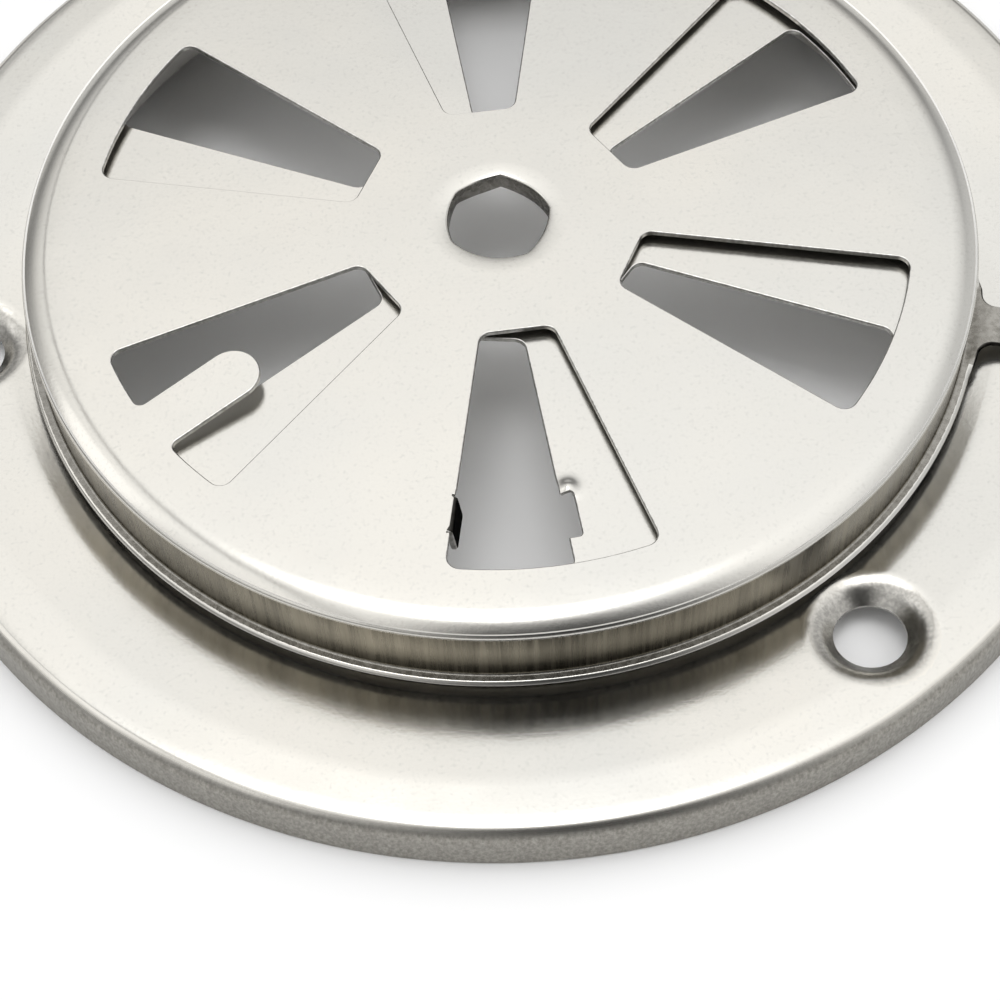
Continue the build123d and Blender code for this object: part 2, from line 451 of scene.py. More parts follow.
def drawnShadedFinish():
    finish, tree, shader, coords = newFinish("drawnShadedSteel")
    marks = noise(tree, stretched(tree, coords, drawn["markScale"]), 1.0, 3, 0.6)
    bands = noise(tree, stretched(tree, coords, drawn["bandScale"]), 1.0, 2)
    share = drawn["bandShare"]
    both = sums(tree, "ADD", sums(tree, "MULTIPLY", marks, 1 - share), sums(tree, "MULTIPLY", bands, share))
    tree.links.new(shade(tree, both, drawn), shader.inputs["Base Color"])
    gloss = remap(tree, marks, *drawn["markSpread"], *drawn["roughness"])
    tree.links.new(gloss, shader.inputs["Roughness"])
    tree.links.new(bump(tree, both, *drawn["bump"]), shader.inputs["Normal"])
    return finish


# The rim's outside, grained and scuffed by the die that turned it down, and painted darker than the steel
# is as a painted dim reflection of the floor
grained = {
    # both colours are darker than the steel is: a painted reflection of a dim floor, on top of the grain
    "dark": (0.23, 0.220, 0.198),
    "light": (0.39, 0.375, 0.34),
    "spread": (0.35, 0.68),
    "roughness": 0.44,
    "grainScale": 3600,
    "grainStretch": (1, 1, 0.7),
    "driftScale": 90,
    "drift": 0.4,                   # how far the fade wanders up and down
    "fadeHeights": (3.65, 4.08),    # it fades into the satin face over the bend
    "bump": (0.3, 0.000012),
}


def grainedShadedFinish():
    finish, tree, shader, coords = newFinish("grainedShadedSteel")
    height = addNode(tree, "ShaderNodeSeparateXYZ", Vector=coords).outputs["Z"]
    grain = noise(tree, stretched(tree, coords, grained["grainStretch"]), grained["grainScale"], 4, 0.65)
    drift = noise(tree, coords, grained["driftScale"], 2)
    low, high = grained["fadeHeights"]
    level = sums(tree, "ADD", height, sums(tree, "MULTIPLY", drift, grained["drift"] * mm))
    fade = remap(tree, level, low * mm, high * mm, 0, 1)
    rough = shade(tree, grain, grained)
    tree.links.new(mixColour(tree, fade, rough, satin["warm"]), shader.inputs["Base Color"])
    gloss = remap(tree, fade, 0, 1, grained["roughness"], satin["roughness"][0])
    tree.links.new(gloss, shader.inputs["Roughness"])
    tree.links.new(bump(tree, grain, *grained["bump"]), shader.inputs["Normal"])
    return finish


# Sheared edges of the blank
sheared = {
    "dark": (0.42, 0.41, 0.385),
    "light": (0.66, 0.65, 0.62),
    "spread": (0.35, 0.65),
    "roughness": 0.28,
    "scale": 2400,
    "bump": (0.25, 0.00002),
}


def shearedFinish():
    finish, tree, shader, coords = newFinish("shearedEdge")
    tear = noise(tree, coords, sheared["scale"], 3, 0.6)
    tree.links.new(shade(tree, tear, sheared), shader.inputs["Base Color"])
    tree.links.new(bump(tree, tear, *sheared["bump"]), shader.inputs["Normal"])
    shader.inputs["Roughness"].default_value = sheared["roughness"]
    return finish


# The back of both pieces, left as rolled, and painted paler than the steel is as painted light that
# brightens the inside of the drum
dull = {
    # both colours are paler than steel: painted light, thrown back into the drum and onto the floor seen
    # through the openings
    "dark": (0.70, 0.69, 0.665),
    "light": (0.82, 0.81, 0.78),
    "spread": (0.3, 0.7),
    "roughness": (0.36, 0.50),
    "scale": 160,
    "grainScale": 3000,
    "bump": (0.12, 0.00002),
}


def dullFinish():
    finish, tree, shader, coords = newFinish("dullBack")
    cloud = noise(tree, coords, dull["scale"], 4, 0.6)
    grain = noise(tree, coords, dull["grainScale"], 2)
    tree.links.new(shade(tree, cloud, dull), shader.inputs["Base Color"])
    tree.links.new(remap(tree, cloud, *dull["spread"], *dull["roughness"]), shader.inputs["Roughness"])
    tree.links.new(bump(tree, grain, *dull["bump"]), shader.inputs["Normal"])
    return finish


# The dimples, pushed in with a punch: the same sheet, dulled and lumpy, and painted darker than the face as
# painted shade in the dimples
punched = {
    # both colours are darker than the satin face: painted shade
    "dark": (0.36, 0.35, 0.325),
    "light": (0.52, 0.505, 0.47),
    "spread": (0.35, 0.65),
    "roughness": 0.27,
    "scale": 420,
    "grainScale": 3200,
    "fade": 1.3,            # it fades into the satin face over this much
    "lumpBump": (0.7, 0.00009),
    "grainBump": (0.3, 0.000008),
}


def punchedShadedFinish(centres, edge):
    finish, tree, shader, coords = newFinish("punchedShadedSteel")
    lumps = noise(tree, coords, punched["scale"], 2)
    grain = noise(tree, coords, punched["grainScale"], 3, 0.6)

    # distance from the nearest dimple's middle, as seen from above: the painted shade fades out with it
    plan = addNode(tree, "ShaderNodeVectorMath", {"operation": "MULTIPLY"}, _0=coords, _1=(1, 1, 0))
    away = [addNode(tree, "ShaderNodeVectorMath", {"operation": "DISTANCE"}, _0=plan.outputs["Vector"],
                    _1=(x * mm, y * mm, 0)) for x, y in centres]
    nearest = away[0].outputs["Value"]
    for node in away[1:]:
        nearest = sums(tree, "MINIMUM", nearest, node.outputs["Value"])
    fade = remap(tree, nearest, (edge - punched["fade"]) * mm, edge * mm, 0, 1)
    mark = shade(tree, grain, punched)
    tree.links.new(mixColour(tree, fade, mark, satin["warm"]), shader.inputs["Base Color"])
    gloss = remap(tree, fade, 0, 1, punched["roughness"], satin["roughness"][0])
    tree.links.new(gloss, shader.inputs["Roughness"])
    normal = bump(tree, lumps, *punched["lumpBump"])
    tree.links.new(bump(tree, grain, *punched["grainBump"], normal), shader.inputs["Normal"])
    return finish


# Where the sheet was worked hard: the lip's flat, the lever and the eyelet's wall are dulled and painted
# darker as painted shade, and the lug and the lip's cut edge are painted near black as painted shade
worked = {
    # darker than the steel is: painted shade
    "dark": (0.19, 0.181, 0.162),
    "light": (0.33, 0.318, 0.292),
    "spread": (0.3, 0.7),
    "tint": (0.8, 0.8, 0.8),
    "roughness": (0.22, 0.32),
    "scale": 2000,
    "bump": (0.3, 0.00001),
}
scuffed = {
    # near black: painted shade on the lug and the lip's cut edge
    "dark": (0.02, 0.019, 0.017),
    "light": (0.07, 0.067, 0.061),
    "spread": (0.3, 0.7),
    "tint": (0.12, 0.12, 0.12),     # the painted shade stays dark when seen along its face
    "roughness": (0.26, 0.38),
    "scale": 2200,
    "bump": (0.3, 0.00001),
}


def shadedBentFinish(name, settings):
    finish, tree, shader, coords = newFinish(name)
    grain = noise(tree, coords, settings["scale"], 3, 0.6)
    tree.links.new(shade(tree, grain, settings), shader.inputs["Base Color"])
    gloss = remap(tree, grain, *settings["spread"], *settings["roughness"])
    tree.links.new(gloss, shader.inputs["Roughness"])
    tree.links.new(bump(tree, grain, *settings["bump"]), shader.inputs["Normal"])
    shader.inputs["Specular Tint"].default_value = (*settings["tint"], 1)
    return finish


satinSteel = satinFinish()
drawnShadedSteel = drawnShadedFinish()
grainedShadedSteel = grainedShadedFinish()
shearedEdge = shearedFinish()
dullBack = dullFinish()
workedShadedSteel = shadedBentFinish("workedShadedSteel", worked)
paintedShadeSteel = shadedBentFinish("paintedShadeSteel", scuffed)
print("finishes made")

# The stop lug is bent down from the side of one of the cap's openings, and the deck's notch lets it close
lug = {
    "opening": 4,
    "start": 26.5,
    "width": 3.2,
    "drop": 2.8,
    "bend": 0.45,
    "turn": 83.0,           # how far it is bent down
    "stand": 0.15,          # of its face out from the opening's edge
    "relief": 0.03,         # width of the slits beside it
    "margin": 0.05,         # its sides bend with it over this much more
    "spots": ((0.25, 3.06, 0.4), (-0.16, 3.3, 0.16)),
    "scuffed": (0.15, 0.1),         # the painted shade reaches from past the start of the bend to past the tip
    "corner": 0.4,
    "notchDepth": 1.05,
    "notchClearance": 0.25,
    "notchCorner": 0.3,
    "notchMouth": 0.12,
    "burr": 0.38,           # raised metal at the notch's inner corner
    "burrSize": 0.7,
    "burrPlace": (-0.5, 0.75),
    "burrSpots": (-1.6, 1.61, 0.2),
    "burrLeast": 0.002,     # what swells less than this stays flat
}

base = {
    "deckHole": 5.0,
    "deckTop": 9.5,
    "longOpening": 2,       # this one reaches further out than the rest
    "longReach": 0.75,
    "drumRadius": 37.15,
    "deckBend": 1.2,
    "drumFoot": 0.8,
    "dish": ((39.0, 0.86), (41.1, 0.50), (46.5, 0.0)),     # the flange's dip: radius and depth
    "dishBend": 8.0,
    "rimHeight": 3.9,
    "rimTop": 50.7,
    "rimBend": 1.2,
    "rimFoot": (50.997, 0.04),
    "screws": 3,
    "screwCircle": 43.8,
    "screwAngle": 66.5,
    "screwHole": 2.65,
    "dimpleMouth": 4.25,
    "dimpleSlope": 42.0,
    "dimpleShoulder": 2.6,
    "dimpleRings": 13,
    "dimpleSpots": (0.2, 0.15),     # the rings go from past the hole to past the edge
    "dimpleClear": 0.35,            # no other spot lies closer to its edge
    "punchedPast": 0.05,            # its finish goes past the edge
    "dimpleStep": 7.5,      # between the spots round a dimple
    "flatRadius": 48.3,     # the flange is flat here
    "drawnHeights": (8.3, 4.7),     # the drum has draw marks and painted shade between these
    "grainStart": (49.9, 3.88),     # the rim's grain and its painted dim reflection start here
    "ringGap": 2.2,
    "bendTurn": 9.0,
}


def makeBase():
    line = bendLine([
        (base["deckHole"], base["deckTop"], 0),
        (base["drumRadius"], base["deckTop"], base["deckBend"]),
        (base["drumRadius"], base["rimHeight"] - base["dish"][0][1], base["drumFoot"]),
        *[(radius, base["rimHeight"] - depth, base["dishBend"]) for radius, depth in base["dish"]],
        (base["rimTop"], base["rimHeight"], base["rimBend"]),
        (*base["rimFoot"], 0),
    ], (base["deckHole"], base["deckTop"]))
    flange = rowAt(line, base["flatRadius"], base["rimHeight"])
    flangeShift = flange[0] - flange[1]
    slope = math.radians(base["dimpleSlope"])
    shoulder = base["dimpleShoulder"]
    mouthEdge = base["dimpleMouth"] + shoulder * math.tan(slope / 2)
    coneEdge = mouthEdge - shoulder * math.sin(slope)
    screwAngles = [base["screwAngle"] + k * 360 / base["screws"] for k in range(base["screws"])]
    screwSpots = [turned([[base["screwCircle"], 0]], a)[0] for a in screwAngles]

    # plan of the flange to the blank
    def toBlank(plan):
        radius = np.hypot(plan[:, 0], plan[:, 1])
        return plan * ((radius + flangeShift) / radius)[:, None]

    def dimpleRing(centre, radius):
        step = base["dimpleStep"]
        return toBlank(arc(centre, radius, 0, 360 - step, step))

    # the burr stands at the inner corner of the notch
    notchAngle = vent["deckTurn"] + lug["opening"] * openingStep + halfOpening
    burrSpot = [lug["start"] - lug["notchClearance"] + lug["burrPlace"][0], lug["burrPlace"][1]]
    burrSpot = turned([burrSpot], notchAngle)[0]

    deepest = base["dish"][0][1] + 0.01     # only the flange lies within this of its level

    def form(flat):
        point, normal = formRound(line, flat)
        for centre in screwSpots:
            away = point[:, :2] - centre
            d = np.hypot(away[:, 0], away[:, 1])
            near = (d < mouthEdge) & (np.abs(point[:, 2] - base["rimHeight"]) < deepest)
            e = np.clip(mouthEdge - d[near], 0, shoulder * math.sin(slope))
            fall = shoulder - np.sqrt(shoulder ** 2 - e ** 2)
            steep = e / np.sqrt(shoulder ** 2 - e ** 2)
            fall += np.clip(coneEdge - d[near], 0, None) * math.tan(slope)
            point[near, 2] -= fall
            normal[near] /= normal[near][:, 2:]
            normal[near, :2] -= away[near] / d[near][:, None] * steep[:, None]
            normal[near] /= np.linalg.norm(normal[near], axis=1)[:, None]
        away = flat - burrSpot
        swell = lug["burr"] * np.exp(-(away ** 2).sum(axis=1) / lug["burrSize"] ** 2)
        swell[swell < lug["burrLeast"]] = 0
        point[:, 2] += swell
        lean = away * (2 * swell / lug["burrSize"] ** 2)[:, None]
        normal[:, :2] += lean
        normal /= np.linalg.norm(normal, axis=1)[:, None]
        return point, normal

    innerEnd, outerEnd = sideEnds()
    notchLow = lug["start"] - lug["notchClearance"]
    notchHigh = lug["start"] + lug["width"] + lug["notchClearance"]
    depth, corner, mouth = lug["notchDepth"], lug["notchCorner"], lug["notchMouth"]
    notched = sideRun([(outerEnd, 0), (notchHigh, 0), (notchHigh, -depth), (notchLow, -depth),
                       (notchLow, 0), (innerEnd, 0)], [mouth, corner, corner, mouth], 1)
    holes = [ring(base["deckHole"], vent["aroundHole"])]
    for k in range(vent["openings"]):
        loop = openingLoop(further=base["longReach"] if k == base["longOpening"] else 0)
        if k == lug["opening"]:
            loop = openingLoop(highSide=notched)
        holes.append(turned(loop, vent["deckTurn"] + k * openingStep))
    holes += [dimpleRing(c, base["screwHole"]) for c in screwSpots]
    outer = ring(line[-1, 0], vent["around"])
    travels = ringTravels(line, base["ringGap"], base["bendTurn"])[1:-1]
    spots = np.concatenate([ring(t, vent["around"]) for t in travels])
    pastHole, pastEdge = base["dimpleSpots"]
    for centre in screwSpots:
        plan = spots * (1 - flangeShift / np.hypot(spots[:, 0], spots[:, 1]))[:, None]
        gone = np.hypot(plan[:, 0] - centre[0], plan[:, 1] - centre[1]) < mouthEdge + base["dimpleClear"]
        spots = spots[~gone]
        radii = np.linspace(base["screwHole"] + pastHole, mouthEdge + pastEdge, base["dimpleRings"])
        spots = np.concatenate([spots] + [dimpleRing(centre, r) for r in radii])
    spots = np.concatenate([spots, grid(lug["burrSpots"], lug["burrSpots"]) + burrSpot])

    drumStart, drumEnd = (rowAt(line, base["drumRadius"], h)[0] for h in base["drawnHeights"])
    rimStart = rowAt(line, *base["grainStart"])[0]
    blankSpots = toBlank(np.array(screwSpots))

    def pickFinish(side, spot):
        # the back is painted pale as painted light; the drum, the dimples and the rim take finishes
        # darkened as painted shade
        if side == "cut":
            return "sheared"
        if side == "back":
            return "dull"
        travel = math.hypot(*spot)
        if drumStart < travel < drumEnd:
            return "drawn"
        if np.hypot(*(blankSpots - spot).T).min() < mouthEdge + base["punchedPast"]:
            return "punched"
        return "grained" if travel > rimStart else "satin"

    finishes = {
        "satin": satinSteel, "drawn": drawnShadedSteel, "grained": grainedShadedSteel, "sheared": shearedEdge,
        "dull": dullBack, "punched": punchedShadedFinish(screwSpots, mouthEdge),
    }
    piece = pressSheet("ventBase", outer, holes, spots, form, pickFinish, finishes)
    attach(piece, "base")
    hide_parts("base")


makeBase()

cap = {
    "bore": 4.1,
    "wallTop": 10.36,
    "wallBend": 0.28,
    "mouthReach": 0.8,      # the face dips softly over this much before it turns down
    "mouthBend": 2.0,
    "spreadTop": 8.85,
    "spreadEnd": (4.9, 8.05),
    "spreadBend": 0.4,
    "corners": ((10, 4.22), (85, 4.45), (138, 4.30), (211.5, 4.30), (302, 4.36)),   # angle and radius
    "flats": (3.95, 4.00, 3.93, 3.93, 3.86),    # radius between each corner and the next
    "cornerPower": 2.2,
    "cornerFade": (3.6, 5.6),       # they fade out towards the face
    "droopStart": 36.75,
    "droopBend": 3.6,
    "edgeRadius": 38.1,
    "edgeTop": 9.74,
    "edgeBend": 0.38,
    "creaseTop": 9.50,
    "creaseRadius": 37.95,
    "creaseLow": 9.40,
    "creaseBend": 0.04,
    "skirtRadius": 38.0,
    "lipTop": 4.45,
    "lipBend": 0.25,
    "lipReach": 38.72,      # the lip rolls over here
    "lipRoll": 0.30,
    "lipEnd": (38.97, 4.10),
    "lipWave": 0.02,        # unevenness of the lip's edge
    "lipWaves": ((7, 0.6, 1.0), (17, 2.1, 0.7), (41, 0.0, 0.4)),    # count, start and share
    "lipFade": 0.9,         # it grows over this much
    "finishMargin": 0.12,   # of the lip's flat
    "innerRings": 6.5,      # up to here they have fewer spots
    "ringGap": 2.2,
    "bendTurn": 9.0,
}
tongue = {
    "opening": 3,
    "width": 4.4,
    "length": 9.3,
    "root": 0.6,
    "rise": 4.5,            # degrees
    "rootReach": 0.9,
    "within": (20, 35),     # only what lies between these radii can rise with it
    "sideFade": 1.4,
    "spots": ((23.0, 34.5, 0.45), (-3.6, 3.7, 0.45)),
}
lever = {
    "angle": -12.7,
    "width": 3.7,
    "length": 7.8,
    "root": 1.2,
    "top": 4.72,
    "riseEnd": 40.0,
    "riseBend": 1.5,
    "farEnd": 60,           # its bend line runs on past its tip
    "blend": (4.8, 8.0),    # degrees to its sides over which the lip rises
    "finishReach": 6,       # degrees
    "spots": ((39.5, 46.5, 0.35), (-2.45, 2.5, 0.35)),
}


# How far the eyelet's wall stands from round, as a factor: a cusp at each corner and a soft flat between
def eyeletShape(angles):
    shape = np.zeros(len(angles))
    count = len(cap["corners"])
    for i in range(count):
        (start, startRadius), (end, endRadius) = cap["corners"][i], cap["corners"][(i + 1) % count]
        span = (end - start) % 360
        part = ((angles - start) % 360) / span
        here = part <= 1
        t = np.abs(2 * part[here] - 1)
        corner = np.where(part[here] < 0.5, startRadius, endRadius)
        shape[here] = cap["flats"][i] + (corner - cap["flats"][i]) * t ** cap["cornerPower"]
    return shape / cap["bore"]


def tongueEdge():
    outer, half, root = vent["openingOuter"], tongue["width"] / 2, tongue["root"]
    cornerTurn = math.degrees(math.asin(vent["openingCorner"] / (outer - vent["openingCorner"])))
    edgeAngle = halfOpening - cornerTurn
    across = half + root
    out = math.sqrt((outer - root) ** 2 - across ** 2)
    rootAngle = math.degrees(math.atan2(across, out))
    tip = math.sqrt(outer ** 2 - across ** 2) - tongue["length"]
    return np.concatenate([
        arc((0, 0), outer, -edgeAngle, -rootAngle, vent["edgeStep"]),
        arc((out, -across), root, -rootAngle, 90, 15),
        along([(out, -half), (tip + half, -half)], 0.7),
        arc((tip + half, 0), half, 270, 90, 8),
        along([(tip + half, half), (out, half)], 0.7),
        arc((out, across), root, -90, rootAngle, 15),
        arc((0, 0), outer, rootAngle, edgeAngle, vent["edgeStep"]),
    ])


def lipOutline(shift):
    lip, half, root = cap["lipEnd"][0], lever["width"] / 2, lever["root"]
    across = half + root
    out = math.sqrt((lip + root) ** 2 - across ** 2)
    rootAngle = math.degrees(math.atan2(across, out))
    tip = math.sqrt(lip ** 2 - across ** 2) + lever["length"]
    # its spots stand in line with those of the rings, and a step just over theirs adds none
    step = 360 / vent["around"]
    first = math.ceil((rootAngle + lever["angle"]) / step) * step - lever["angle"]
    count = int((360 - rootAngle - first) / step)
    plan = closedLoop(
        arc((0, 0), lip, first, first + count * step, step * 1.001),
        arc((out, -across), root, 180 - rootAngle, 90, 12),
        along([(out, -half), (tip - half, -half)], 0.7),
        arc((tip - half, 0), half, -90, 90, 8),
        along([(tip - half, half), (out, half)], 0.7),
        arc((out, across), root, -90, rootAngle - 180, 12),
    )
    radius = np.hypot(plan[:, 0], plan[:, 1])
    return turned(plan * ((radius + shift) / radius)[:, None], lever["angle"])


def makeCap():
    top = vent["height"]
    corners = [
        (*cap["spreadEnd"], 0),
        (cap["bore"], cap["spreadTop"], cap["spreadBend"]),
        (cap["bore"], cap["wallTop"], cap["wallBend"]),
        (cap["bore"] + cap["mouthReach"], top, cap["mouthBend"]),
        (cap["droopStart"], top, cap["droopBend"]),
        (cap["edgeRadius"], cap["edgeTop"], cap["edgeBend"]),
        (cap["edgeRadius"], cap["creaseTop"], cap["creaseBend"]),
        (cap["creaseRadius"], (cap["creaseTop"] + cap["creaseLow"]) / 2, cap["creaseBend"]),
        (cap["skirtRadius"], cap["creaseLow"], cap["creaseBend"]),
        (cap["skirtRadius"], cap["lipTop"], cap["lipBend"]),
    ]
    rolled = [(cap["lipReach"], cap["lipTop"], cap["lipRoll"]), (*cap["lipEnd"], 0)]
    rising = [(lever["riseEnd"], lever["top"], lever["riseBend"]), (lever["farEnd"], lever["top"], 0)]
    onFace = (cap["bore"] + 2 * cap["mouthReach"], top)
    line = bendLine(corners + rolled, onFace)
    leverLine = bendLine(corners + rising, onFace)      # the lever climbs from the lip, clear of the flange
    lipShift = line[-1, 0] - cap["lipEnd"][0]
    outer = lipOutline(lipShift)
    lipTravel = line[-1, 0]
    rings = ringTravels(line, cap["ringGap"], cap["bendTurn"])[1:-1]

    tongueAngle = capFirst + tongue["opening"] * openingStep
    tongueRoot = math.sqrt(vent["openingOuter"] ** 2 - (tongue["width"] / 2 + tongue["root"]) ** 2)
    lugAngle = capFirst + lug["opening"] * openingStep - halfOpening
    near, far = lug["start"], lug["start"] + lug["width"]
    bendStart = lug["stand"] - lug["bend"]
    lugTurn = math.radians(lug["turn"])
    bendLength = lug["bend"] * lugTurn
    lugTip = bendStart + bendLength + lug["drop"] - lug["bend"]
    blendStart, blendEnd = lever["blend"]
    fadeStart, fadeEnd = cap["cornerFade"]
    tongueLow, tongueHigh = tongue["within"]

    def form(flat):
        point, normal = formRound(line, flat)
        travel = np.hypot(flat[:, 0], flat[:, 1])
        angle = np.arctan2(flat[:, 1], flat[:, 0])

        # the lip rises into the lever
        offLever = np.abs((np.degrees(angle) - lever["angle"] + 180) % 360 - 180)
        share = np.clip((blendEnd - offLever) / (blendEnd - blendStart), 0, 1)
        share = (share * share * (3 - 2 * share))[:, None]
        leverPoint, leverNormal = formRound(leverLine, flat)
        point += (leverPoint - point) * share
        normal += (leverNormal - normal) * share

        # the eyelet was spread with a tool that left uneven corners in it
        low = travel < fadeEnd
        fade = np.clip((fadeEnd - travel[low]) / (fadeEnd - fadeStart), 0, 1)
        point[low, :2] *= 1 + ((eyeletShape(np.degrees(angle[low])) - 1) * fade)[:, None]

        # the tongue rises from its root
        local = turned(flat, -tongueAngle)
        width = tongue["width"] / 2 + tongue["root"]
        onTongue = np.clip((width + tongue["sideFade"] - np.abs(local[:, 1])) / tongue["sideFade"], 0, 1)
        onTongue[(travel > tongueHigh) | (local[:, 0] < tongueLow)] = 0
        run = np.clip(tongueRoot + tongue["rootReach"] - local[:, 0], 0, None)
        reach = 2 * tongue["rootReach"]
        steep = math.tan(math.radians(tongue["rise"]))
        rise = steep * np.where(run < reach, run ** 2 / (2 * reach), run - reach / 2) * onTongue
        slope = steep * np.clip(run / reach, 0, 1) * onTongue
        inOpening = onTongue > 0
        point[inOpening, 2] += rise[inOpening]
        tilt = turned(np.column_stack([slope, np.zeros(len(flat))]), tongueAngle)
        normal[inOpening, :2] += tilt[inOpening]

        # the lug turns down
        side = turned(flat, -lugAngle)
        bent = (side[:, 0] > near - lug["margin"]) & (side[:, 0] < far + lug["margin"])
        bent &= (side[:, 1] > bendStart) & (side[:, 1] < lugTip + 1)
        past = side[bent, 1] - bendStart
        turn = np.clip(past / lug["bend"], 0, lugTurn)
        rest = np.clip(past - bendLength, 0, None)
        drop = lug["bend"] * (1 - np.cos(turn)) + rest * math.sin(lugTurn)
        out = bendStart + lug["bend"] * np.sin(turn) + rest * math.cos(lugTurn)
        shifted = np.column_stack([side[bent, 0], out])
        point[bent, :2] = turned(shifted, lugAngle)
        point[bent, 2] = top - drop
        facing = turned(np.column_stack([np.zeros(len(turn)), np.sin(turn)]), lugAngle)
        normal[bent] = np.column_stack([facing, np.cos(turn)])

        # the lip is not quite even
        onLip = np.clip((travel - lipTravel + cap["lipFade"]) / cap["lipFade"], 0, 1)
        wave = sum(part * np.sin(count * angle + start) for count, start, part in cap["lipWaves"])
        point[:, 2] += cap["lipWave"] * wave * onLip * (1 - share[:, 0])
        normal /= np.linalg.norm(normal, axis=1)[:, None]
        return point, normal

    innerEnd, outerEnd = sideEnds()
    slit = lug["relief"]
    lugSide = sideRun([
        (innerEnd, 0), (near - slit, 0), (near - slit, bendStart), (near, bendStart), (near, lugTip),
        (far, lugTip), (far, bendStart), (far + slit, bendStart), (far + slit, 0), (outerEnd, 0),
    ], [0, 0, 0, lug["corner"], lug["corner"], 0, 0, 0], -1)
    holes = [ring(line[0, 0], vent["aroundHole"])]
    for k in range(vent["openings"]):
        loop = openingLoop()
        if k == tongue["opening"]:
            loop = openingLoop(outerEdge=tongueEdge())
        if k == lug["opening"]:
            loop = openingLoop(lowSide=lugSide)
        holes.append(turned(loop, capFirst + k * openingStep))

    spots = [ring(t, vent["aroundHole"] if t < cap["innerRings"] else vent["around"]) for t in rings]
    # and closer ones where the sheet bends other than in rings
    spots.append(turned(grid(*lever["spots"]) + [lipShift, 0], lever["angle"]))
    spots.append(turned(grid(*tongue["spots"]), tongueAngle))
    spots.append(turned(grid(*lug["spots"]) + [near, bendStart], lugAngle))
    spots = np.concatenate(spots)

    margin = cap["finishMargin"]
    wallStart = rowAt(line, cap["bore"], cap["wallTop"])[0]
    skirtStart = rowAt(line, cap["skirtRadius"], cap["creaseLow"])[0]
    skirtEnd = rowAt(line, cap["skirtRadius"] + margin, cap["lipTop"] + margin)[0]
    rollStart = rowAt(line, cap["lipReach"] - margin, cap["lipTop"])[0]
    paintedShadeStart, paintedShadeEnd = bendStart + lug["scuffed"][0], lugTip + lug["scuffed"][1]

    def pickFinish(side, spot):
        travel = math.hypot(*spot)
        # the lip's cut edges take the near-black painted shade, the other cut edges the sheared finish
        if side == "cut":
            return "scuffed" if travel > rollStart else "sheared"
        if side == "back":
            return "dull"
        # the lug's face takes the near-black painted shade; the eyelet's wall, the lip's flat and the lever
        # a darker painted shade; the skirt its draw marks with painted shade
        out, across = turned([spot], -lugAngle)[0]
        if near < out < far and paintedShadeStart < across < paintedShadeEnd:
            return "scuffed"
        offLever = abs(math.degrees(math.atan2(spot[1], spot[0])) - lever["angle"])
        lipFlat = skirtEnd < travel < rollStart
        if travel < wallStart or lipFlat or (travel > skirtEnd and offLever < lever["finishReach"]):
            return "worked"
        return "drawn" if skirtStart < travel < skirtEnd else "satin"

    finishes = {
        "satin": satinSteel, "drawn": drawnShadedSteel, "sheared": shearedEdge, "dull": dullBack,
        "worked": workedShadedSteel, "scuffed": paintedShadeSteel,
    }
    piece = pressSheet("ventCap", outer, holes, spots, form, pickFinish, finishes)
    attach(piece, "cap")
    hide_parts("cap")


makeCap()

# The floor that the vent lies on
floor = {"size": 6.0, "colour": (0.97, 0.97, 0.97), "roughness": 0.9}


def layFloor():
    half = floor["size"] / 2
    mesh = bpy.data.meshes.new("floor")
    corners = [(-half, -half, 0), (half, -half, 0), (half, half, 0), (-half, half, 0)]
    mesh.from_pydata(corners, [], [(0, 1, 2, 3)])
    paint = bpy.data.materials.new("floorPaint")
    paint.use_nodes = True
    shader = paint.node_tree.nodes["Principled BSDF"]
    shader.inputs["Base Color"].default_value = (*floor["colour"], 1)
    shader.inputs["Roughness"].default_value = floor["roughness"]
    shader.inputs["Specular IOR Level"].default_value = 0
    mesh.materials.append(paint)
    piece = bpy.data.objects.new("floor", mesh)
    bpy.context.scene.collection.objects.link(piece)


layFloor()
print("floor laid")

# A soft white tent: brightest overhead, dim lower down, pale again at the horizon, open at the front
# where the camera looks in, with a lit panel on the left behind a dim seam
tent = {
    # brightness by height, from the horizon at 0 to overhead at 1
    "levels": ((0.0, 0.12), (0.28, 0.26), (0.60, 0.98), (0.72, 1.25), (0.81, 1.46), (1.0, 1.60)),
    "levelTop": 2.0,
    "openAt": (0.14, -0.60),        # middle of the opening as seen from below
    "openSize": 0.42,
    "openEdge": (0.45, 1.50),       # all dark inside the first, all bright past the second
    "openLevel": 0.05,
    "rightLevel": 0.9,              # the right-hand side is this bright down to the floor
    "rightEdge": (0.3, 0.8),
    "panelTowards": (166, 42),      # azimuth and height
    "panelSize": (8, 16),
    "panelLevel": 1.8,
    "seamAt": -0.46,
    "seamWidth": 0.08,
    "seamDim": 0.8,
    "horizon": (0.17, 0.25),        # pale up to the first height, gone at the second
    "horizonLevel": 0.85,
}


